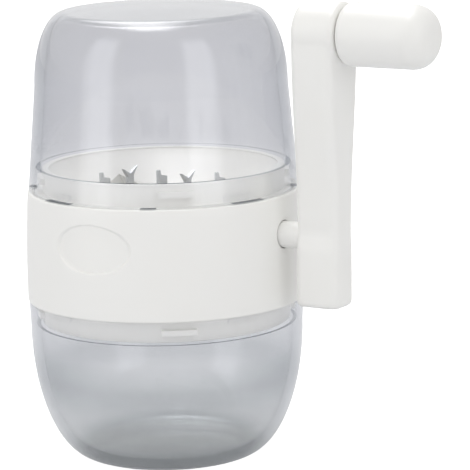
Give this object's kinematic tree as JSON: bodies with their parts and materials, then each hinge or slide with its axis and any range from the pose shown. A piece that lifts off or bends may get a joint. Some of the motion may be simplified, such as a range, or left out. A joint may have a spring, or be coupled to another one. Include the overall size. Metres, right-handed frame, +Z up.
{
  "type": "nut grinder",
  "caption": "Hand cranked nut grinder: clear rounded cup, white barrel body with a steel cutting rotor, clear dome over the hopper, and a side crank with a turning knob.",
  "frame": {"origin": "centre of the flat face that the cup stands on", "axes": "+Z up along the body's axis, +X along the shaft towards the crank, -Y the side with the badge place"},
  "size_m": [0.1379, 0.0864, 0.1446],
  "materials": {
    "white_abs": "moulded satin white",
    "clear_san": "polished clear moulding",
    "stainless_steel": "stamped and tumbled",
    "natural_acetal": "moulded natural white"
  },
  "bodies": {
    "cup": {"collector_cup": "clear_san"},
    "head": {"body_shell": "white_abs", "hopper_funnel": "white_abs", "outlet_ring": "white_abs", "near_bush": "natural_acetal", "far_bush": "natural_acetal", "front_comb": "natural_acetal", "rear_comb": "natural_acetal", "comb_screws": "stainless_steel", "ring_screws": "stainless_steel"},
    "cover": {"hopper_cover": "clear_san"},
    "crank": {"rotor_shaft": "stainless_steel", "blade_1": "stainless_steel", "blade_2": "stainless_steel", "blade_3": "stainless_steel", "blade_4": "stainless_steel", "blade_5": "stainless_steel", "spacer_1": "natural_acetal", "spacer_2": "natural_acetal", "spacer_3": "natural_acetal", "spacer_4": "natural_acetal", "spacer_5": "natural_acetal", "spacer_6": "natural_acetal", "near_washer": "natural_acetal", "far_washer": "natural_acetal", "retaining_ring": "stainless_steel", "crank_arm": "white_abs", "grub_screw": "stainless_steel", "knob_spindle": "stainless_steel"},
    "knob": {"knob": "white_abs"}
  },
  "joints": [
    {"name": "head_lift", "type": "slide", "parent": "cup", "child": "head", "axis": [0, 0, 1], "range_m": [0, 0.06]},
    {"name": "cover_lift", "type": "slide", "parent": "head", "child": "cover", "axis": [0, 0, 1], "range_m": [0, 0.06]},
    {"name": "crank_turn", "type": "hinge", "parent": "head", "child": "crank", "pos_m": [0, 0, 0.0726], "axis": [1, 0, 0], "continuous": true},
    {"name": "knob_spin", "type": "hinge", "parent": "crank", "child": "knob", "pos_m": [0.07, 0, 0.1349], "axis": [1, 0, 0], "continuous": true}
  ]
}
